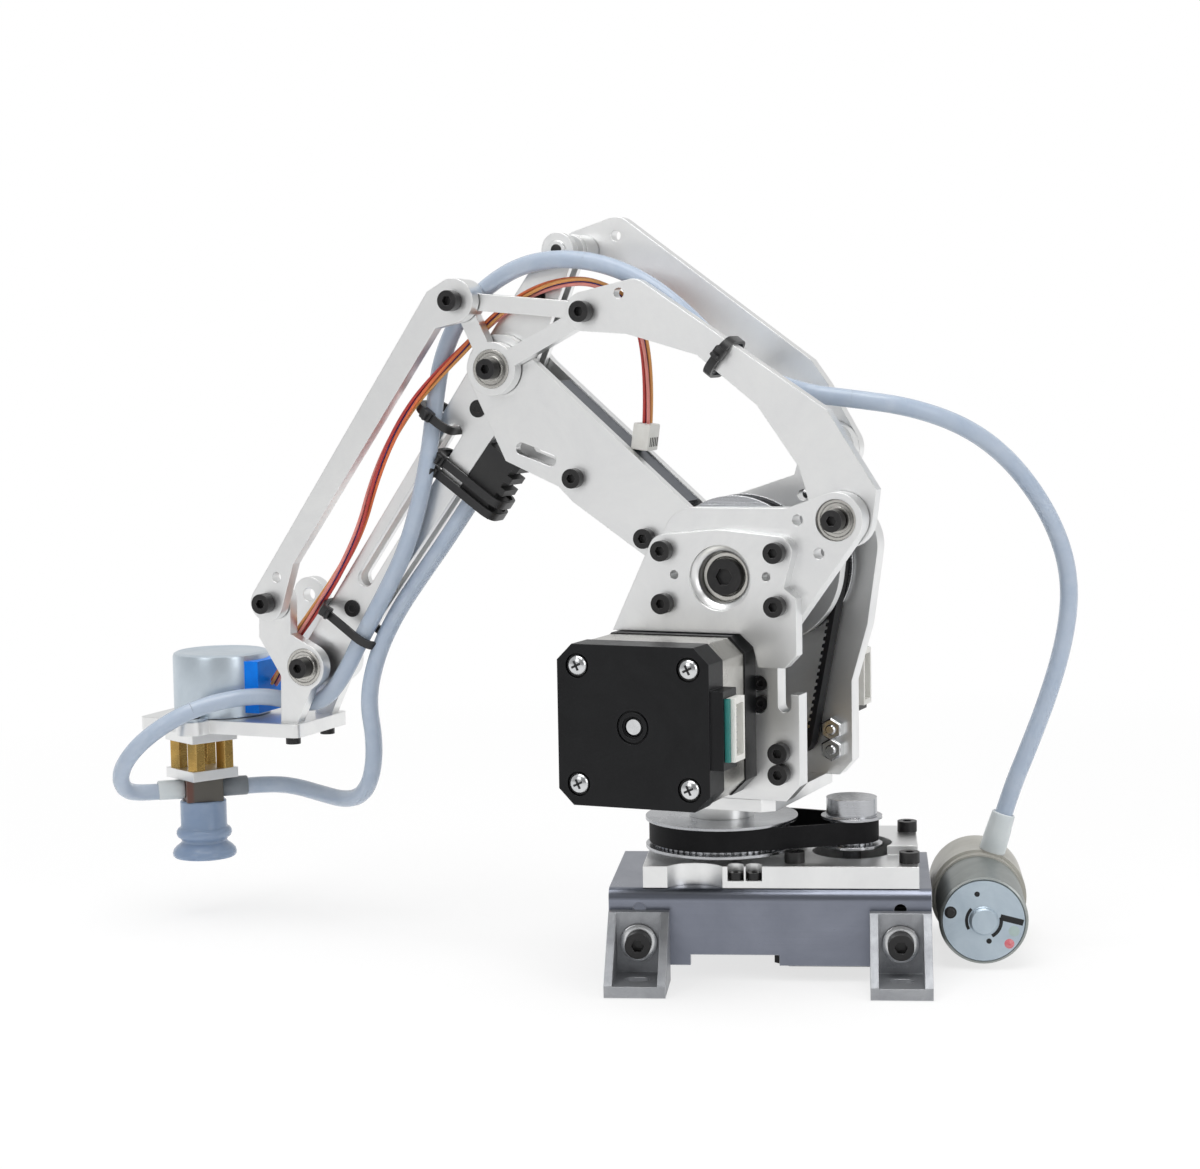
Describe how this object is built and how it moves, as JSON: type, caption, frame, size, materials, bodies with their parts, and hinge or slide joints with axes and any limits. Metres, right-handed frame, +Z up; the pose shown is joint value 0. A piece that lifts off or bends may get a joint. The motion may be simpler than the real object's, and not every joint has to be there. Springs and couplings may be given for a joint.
{
  "type": "robot arm",
  "caption": "Small desktop robot arm: a belt-driven parallel linkage on a turntable base, with a vacuum pump and a turning suction-cup tool held level.",
  "frame": {"origin": "middle of the four foot slots, on the floor", "axes": "+X to the right along the base, +Y to the back, +Z up; the arm reaches towards -X and a little to the back"},
  "size_m": [0.283, 0.1324, 0.2075],
  "materials": {
    "plate_aluminium": "satin",
    "base_sheet": "brushed",
    "cast_foot": "grainy cast",
    "black_screw": "black oxide",
    "bearing_steel": "ground",
    "belt_rubber": "matte",
    "pulley_aluminium": "turned",
    "motor_black": "satin black",
    "plug_white": "matte",
    "brass": "turned",
    "cover_blue": "gloss",
    "block_brown": "matte",
    "cup_silicone": "translucent",
    "hose_silicone": "translucent",
    "loom_wires": "satin",
    "pump_can": "plated",
    "pump_beige": "matte",
    "valve_black": "matte"
  },
  "bodies": {
    "base": {"base_frame": "base_sheet", "foot_brackets": "cast_foot", "base_screws": "black_screw", "bearing_clamp_plate": "plate_aluminium", "base_motor": "motor_black", "turntable_bearing": "bearing_steel", "base_belt": "belt_rubber", "pump_motor": "pump_can", "pump_head": "pump_beige"},
    "base_rotor": {"base_motor_pulley": "pulley_aluminium"},
    "turret": {"turntable_pulley": "pulley_aluminium", "turret_hub": "plate_aluminium", "turret_floor_plate": "plate_aluminium", "front_side_plate": "plate_aluminium", "back_side_plate": "plate_aluminium", "bearing_plates": "plate_aluminium", "side_plate_bearings": "bearing_steel", "turret_screws": "black_screw", "plate_standoffs": "brass", "motor_covers": "motor_black", "motor_stators": "bearing_steel", "motor_connectors": "plug_white", "shoulder_belt": "belt_rubber", "crank_belt": "belt_rubber", "hose_to_arm": "hose_silicone"},
    "shoulder_rotor": {"shoulder_motor_pulley": "pulley_aluminium"},
    "crank_rotor": {"crank_motor_pulley": "pulley_aluminium"},
    "upper_arm": {"shoulder_pulley": "pulley_aluminium", "shoulder_shaft": "bearing_steel", "arm_plates": "plate_aluminium", "arm_cross_pieces": "plate_aluminium", "arm_screws": "black_screw"},
    "crank": {"crank_lever": "plate_aluminium", "crank_pulley": "pulley_aluminium", "crank_fittings": "black_screw"},
    "level_rod": {"level_rod": "plate_aluminium", "level_rod_screw": "black_screw", "hose_over_elbow": "hose_silicone"},
    "level_pin": {"level_pin": "black_screw"},
    "elbow_link": {"elbow_link": "plate_aluminium", "elbow_fittings": "black_screw"},
    "forearm": {"forearm_plates": "plate_aluminium", "forearm_fasteners": "black_screw", "vent_valve": "valve_black", "wire_loom": "loom_wires"},
    "lever_pin": {"lever_pin": "pulley_aluminium"},
    "fore_link": {"fore_link": "plate_aluminium"},
    "drive_rod": {"drive_rod": "plate_aluminium"},
    "wrist": {"wrist_plates": "plate_aluminium", "wrist_fittings": "black_screw", "tool_bracket": "plate_aluminium", "tool_motor": "bearing_steel", "tool_motor_cover": "cover_blue", "hose_to_tool": "hose_silicone", "vent_hose": "hose_silicone"},
    "tool": {"tool_top_plate": "plate_aluminium", "tool_bottom_plate": "plate_aluminium", "brass_standoffs": "brass", "vacuum_block": "block_brown", "suction_cup": "cup_silicone"}
  },
  "joints": [
    {"name": "turret_yaw", "type": "hinge", "parent": "base", "child": "turret", "pos_m": [-0.0138, -0.0035, 0.036], "axis": [0, 0, 1], "range_deg": [-90, 90], "deforming": ["hose_to_arm"]},
    {"name": "base_rotor_spin", "type": "hinge", "parent": "base", "child": "base_rotor", "pos_m": [0.0222, -0.0035, 0.036], "axis": [0, 0, 1], "range_deg": [-270, 270]},
    {"name": "shoulder_swing", "type": "hinge", "parent": "turret", "child": "upper_arm", "pos_m": [-0.00335, -0.00694, 0.11], "axis": [-0.3123, -0.95, 0], "range_deg": [-22, 18], "deforming": ["hose_over_elbow"]},
    {"name": "shoulder_rotor_spin", "type": "hinge", "parent": "turret", "child": "shoulder_rotor", "pos_m": [-0.01571, -0.00287, 0.07387], "axis": [-0.3123, -0.95, 0], "range_deg": [-66, 54]},
    {"name": "crank_swing", "type": "hinge", "parent": "turret", "child": "crank", "pos_m": [-0.00335, -0.00694, 0.11], "axis": [-0.3123, -0.95, 0], "range_deg": [-20, 6]},
    {"name": "crank_rotor_spin", "type": "hinge", "parent": "turret", "child": "crank_rotor", "pos_m": [-0.01571, -0.00287, 0.07387], "axis": [-0.3123, -0.95, 0], "range_deg": [-60, 18]},
    {"name": "level_rod_swing", "type": "hinge", "parent": "turret", "child": "level_rod", "pos_m": [0.02587, -0.01654, 0.1254], "axis": [-0.3123, -0.95, 0], "range_deg": [-22, 18], "deforming": ["hose_over_elbow", "hose_to_arm"]},
    {"name": "level_pin_turn", "type": "hinge", "parent": "level_rod", "child": "level_pin", "pos_m": [-0.04421, 0.0065, 0.18087], "axis": [-0.3123, -0.95, 0], "range_deg": [-18, 22], "deforming": ["hose_over_elbow"]},
    {"name": "elbow_level", "type": "hinge", "parent": "upper_arm", "child": "elbow_link", "pos_m": [-0.07343, 0.01611, 0.16547], "axis": [-0.3123, -0.95, 0], "range_deg": [-18, 22], "deforming": ["hose_over_elbow", "wire_loom"]},
    {"name": "forearm_swing", "type": "hinge", "parent": "elbow_link", "child": "forearm", "pos_m": [-0.07343, 0.01611, 0.16547], "axis": [-0.3123, -0.95, 0], "range_deg": [-20, 6], "deforming": ["wire_loom", "hose_over_elbow", "hose_to_tool"]},
    {"name": "fore_link_swing", "type": "hinge", "parent": "elbow_link", "child": "fore_link", "pos_m": [-0.0822, 0.01899, 0.18456], "axis": [-0.3123, -0.95, 0], "range_deg": [-20, 6]},
    {"name": "wrist_level", "type": "hinge", "parent": "forearm", "child": "wrist", "pos_m": [-0.13321, 0.03576, 0.07918], "axis": [-0.3123, -0.95, 0], "range_deg": [-6, 20], "deforming": ["hose_to_tool", "vent_hose", "wire_loom"]},
    {"name": "lever_pin_turn", "type": "hinge", "parent": "forearm", "child": "lever_pin", "pos_m": [-0.05599, 0.01037, 0.19805], "axis": [-0.3123, -0.95, 0], "range_deg": [-6, 20]},
    {"name": "drive_rod_swing", "type": "hinge", "parent": "lever_pin", "child": "drive_rod", "pos_m": [-0.05599, 0.01037, 0.19805], "axis": [-0.3123, -0.95, 0], "range_deg": [-22, 18]},
    {"name": "tool_turn", "type": "hinge", "parent": "wrist", "child": "tool", "pos_m": [-0.17482, 0.04944, 0.05], "axis": [0, 0, 1], "range_deg": [-90, 90], "deforming": ["hose_to_tool", "vent_hose"]}
  ],
  "couplings": [
    {"joint": "base_rotor_spin", "follows": "turret_yaw", "ratio": 3},
    {"joint": "shoulder_rotor_spin", "follows": "shoulder_swing", "ratio": 3},
    {"joint": "crank_swing", "follows": "forearm_swing", "ratio": 1},
    {"joint": "crank_rotor_spin", "follows": "forearm_swing", "ratio": 3},
    {"joint": "level_rod_swing", "follows": "shoulder_swing", "ratio": 1},
    {"joint": "level_pin_turn", "follows": "shoulder_swing", "ratio": -1},
    {"joint": "elbow_level", "follows": "shoulder_swing", "ratio": -1},
    {"joint": "fore_link_swing", "follows": "forearm_swing", "ratio": 1},
    {"joint": "wrist_level", "follows": "forearm_swing", "ratio": -1},
    {"joint": "lever_pin_turn", "follows": "forearm_swing", "ratio": -1},
    {"joint": "drive_rod_swing", "follows": "shoulder_swing", "ratio": 1}
  ]
}
